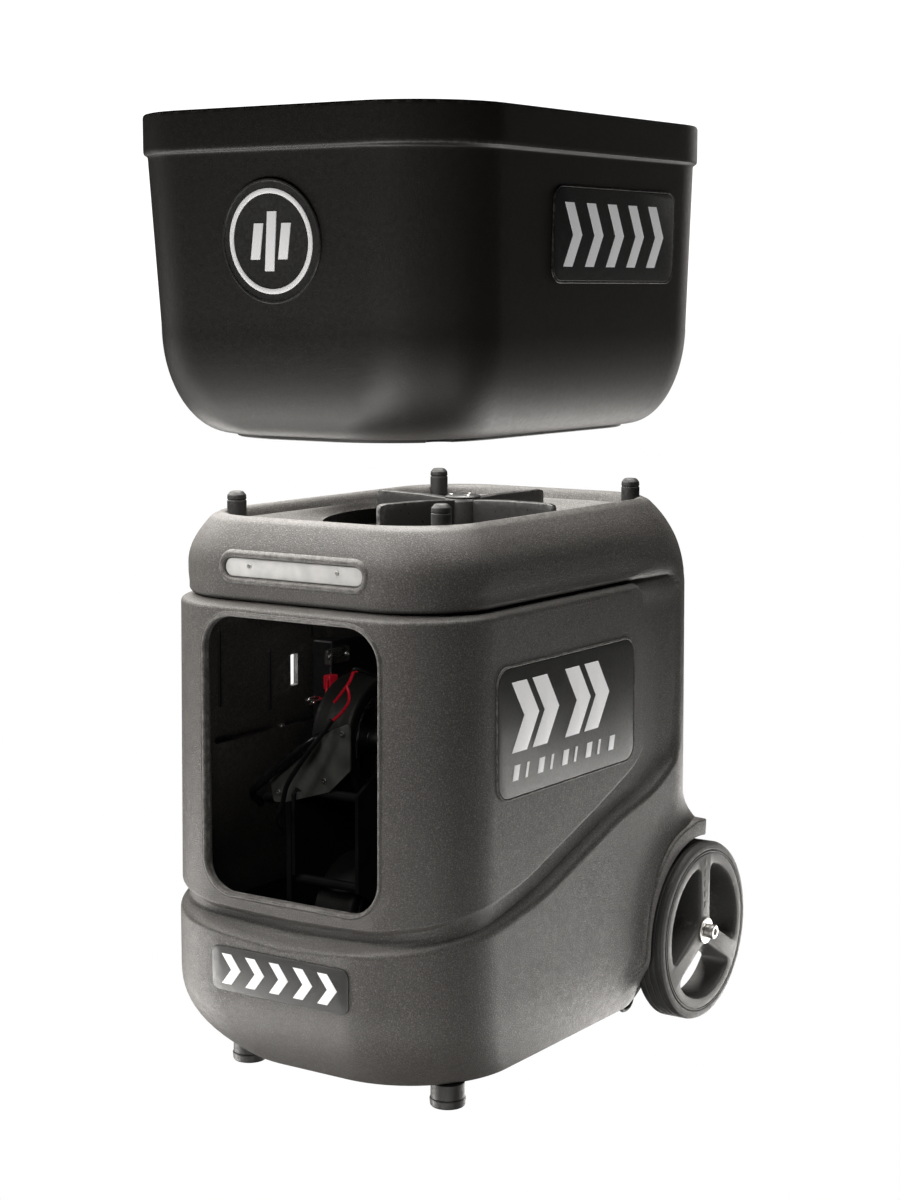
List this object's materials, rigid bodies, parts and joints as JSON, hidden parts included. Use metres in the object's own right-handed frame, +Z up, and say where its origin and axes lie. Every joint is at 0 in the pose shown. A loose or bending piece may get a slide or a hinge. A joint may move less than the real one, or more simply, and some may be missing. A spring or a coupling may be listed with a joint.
{
  "type": "tennis ball machine",
  "caption": "Wheeled tennis ball machine: moulded body with a front launch window, lift-off ball hopper, rotary feed and a swinging, tilting launch head.",
  "frame": {"origin": "middle of the object's box, on the ground under the feet and wheels", "axes": "+Z up; -Y is the front with the launch window; +X is the side of the right-hand wheel; the wheels' axle lies along X"},
  "size_m": [0.436, 0.617, 0.983],
  "materials": {
    "body_plastic": "pebbled rotomoulded polyethylene",
    "hopper_plastic": "fine-textured satin polyethylene",
    "base_plastic": "moulded, matt",
    "black_plastic": "moulded, satin",
    "badge_plastic": "printed plate under a gloss film",
    "lens_plastic": "translucent, pale",
    "post_rubber": "satin rubber",
    "foot_rubber": "matt rubber",
    "wheel_plastic": "satin moulded rim",
    "tyre_rubber": "matt rubber tread",
    "fastener_steel": "zinc plated",
    "motor_metal": "machined can",
    "frame_metal": "black powder coat",
    "gear_steel": "cut steel",
    "launch_hub_metal": "turned",
    "launch_rubber": "beige polyurethane tread",
    "impeller_plastic": "moulded, satin",
    "battery_case": "moulded, satin",
    "panel_plastic": "satin panel",
    "switch_plastic": "red rocker",
    "button_plastic": "green button",
    "release_plastic": "grey button",
    "handle_metal": "anodised tube",
    "grip_rubber": "ribbed grip",
    "red_sheath": "wire sheath",
    "black_sheath": "cable sheath"
  },
  "bodies": {
    "root": {"body_shell": "body_plastic", "base_plate": "base_plastic", "front_badge": "badge_plastic", "side_badge_left": "badge_plastic", "side_badge_right": "badge_plastic", "light_lens": "lens_plastic", "post_front_left": "post_rubber", "post_front_right": "post_rubber", "post_rear_left": "post_rubber", "post_rear_right": "post_rubber", "foot_left": "foot_rubber", "foot_right": "foot_rubber", "axle": "fastener_steel", "axle_washer_left": "fastener_steel", "axle_washer_right": "fastener_steel", "axle_screw_left": "fastener_steel", "axle_screw_right": "fastener_steel", "tie_loop": "foot_rubber", "feed_tray": "black_plastic", "feed_motor": "motor_metal", "ball_chute": "black_plastic", "turntable_base": "frame_metal", "swing_motor": "motor_metal", "battery": "battery_case", "controller_box": "black_plastic", "rear_panel": "panel_plastic", "charge_socket": "black_plastic", "wire_red": "red_sheath", "wire_black": "black_sheath", "handle_mount": "black_plastic"},
    "ball_hopper": {"hopper": "hopper_plastic", "hopper_base_plate": "base_plastic", "hopper_medallion": "badge_plastic", "hopper_badge_left": "badge_plastic", "hopper_badge_right": "badge_plastic"},
    "left_wheel": {"wheel_left": "wheel_plastic", "tyre_left": "tyre_rubber"},
    "right_wheel": {"wheel_right": "wheel_plastic", "tyre_right": "tyre_rubber"},
    "feed_wheel": {"impeller": "impeller_plastic", "impeller_cap": "impeller_plastic"},
    "swing_yoke": {"yoke": "frame_metal", "swing_gear": "gear_steel", "tilt_motor": "motor_metal"},
    "swing_pinion_shaft": {"swing_pinion": "gear_steel"},
    "launch_head": {"head_frame": "frame_metal", "ball_guide": "black_plastic", "tilt_gear": "gear_steel", "upper_motor": "motor_metal", "lower_motor": "motor_metal"},
    "tilt_pinion_shaft": {"tilt_pinion": "gear_steel"},
    "upper_launch_wheel": {"upper_launch_hub": "launch_hub_metal", "upper_launch_tyre": "launch_rubber"},
    "lower_launch_wheel": {"lower_launch_hub": "launch_hub_metal", "lower_launch_tyre": "launch_rubber"},
    "switch_rocker": {"power_switch": "switch_plastic"},
    "start_plunger": {"start_button": "button_plastic"},
    "tow_handle": {"handle_frame": "handle_metal", "handle_grip": "grip_rubber"},
    "release_plunger": {"handle_button": "release_plastic"}
  },
  "joints": [
    {"name": "hopper_lift", "type": "slide", "parent": "root", "child": "ball_hopper", "axis": [0, 0, 1], "range_m": [-0.0758, 0.12]},
    {"name": "left_wheel_spin", "type": "hinge", "parent": "root", "child": "left_wheel", "pos_m": [0, 0.2085, 0.1], "axis": [1, 0, 0], "continuous": true},
    {"name": "right_wheel_spin", "type": "hinge", "parent": "root", "child": "right_wheel", "pos_m": [0, 0.2085, 0.1], "axis": [1, 0, 0], "continuous": true},
    {"name": "feed_spin", "type": "hinge", "parent": "root", "child": "feed_wheel", "pos_m": [0, 0.0265, 0.55], "axis": [0, 0, 1], "continuous": true},
    {"name": "head_swing", "type": "hinge", "parent": "root", "child": "swing_yoke", "pos_m": [0, -0.12, 0.053], "axis": [0, 0, 1], "range_deg": [-20, 20]},
    {"name": "swing_pinion_spin", "type": "hinge", "parent": "root", "child": "swing_pinion_shaft", "pos_m": [0, -0.04465, 0.053], "axis": [0, 0, 1], "range_deg": [-81, 81]},
    {"name": "head_tilt", "type": "hinge", "parent": "swing_yoke", "child": "launch_head", "pos_m": [0, -0.12, 0.262], "axis": [-1, 0, 0], "range_deg": [-5, 25]},
    {"name": "tilt_pinion_spin", "type": "hinge", "parent": "swing_yoke", "child": "tilt_pinion_shaft", "pos_m": [0, -0.04465, 0.262], "axis": [-1, 0, 0], "range_deg": [-101, 21]},
    {"name": "upper_launch_spin", "type": "hinge", "parent": "launch_head", "child": "upper_launch_wheel", "pos_m": [0, -0.15, 0.3555], "axis": [1, 0, 0], "continuous": true},
    {"name": "lower_launch_spin", "type": "hinge", "parent": "launch_head", "child": "lower_launch_wheel", "pos_m": [0, -0.15, 0.1685], "axis": [1, 0, 0], "continuous": true},
    {"name": "power_switch_rock", "type": "hinge", "parent": "root", "child": "switch_rocker", "pos_m": [-0.026, 0.252, 0.418], "axis": [-1, 0, 0], "range_deg": [0, 12]},
    {"name": "start_button_press", "type": "slide", "parent": "root", "child": "start_plunger", "axis": [0, -1, 0], "range_m": [0, 0.002], "stiffness_N_per_m": 300, "springref_m": -0.002},
    {"name": "handle_slide", "type": "slide", "parent": "root", "child": "tow_handle", "axis": [0, 0, 1], "range_m": [0, 0.3]},
    {"name": "handle_button_press", "type": "slide", "parent": "tow_handle", "child": "release_plunger", "axis": [0, 0, -1], "range_m": [0, 0.002], "stiffness_N_per_m": 300, "springref_m": -0.002}
  ],
  "couplings": [
    {"joint": "swing_pinion_spin", "follows": "head_swing", "ratio": -4},
    {"joint": "tilt_pinion_spin", "follows": "head_tilt", "ratio": -4}
  ]
}
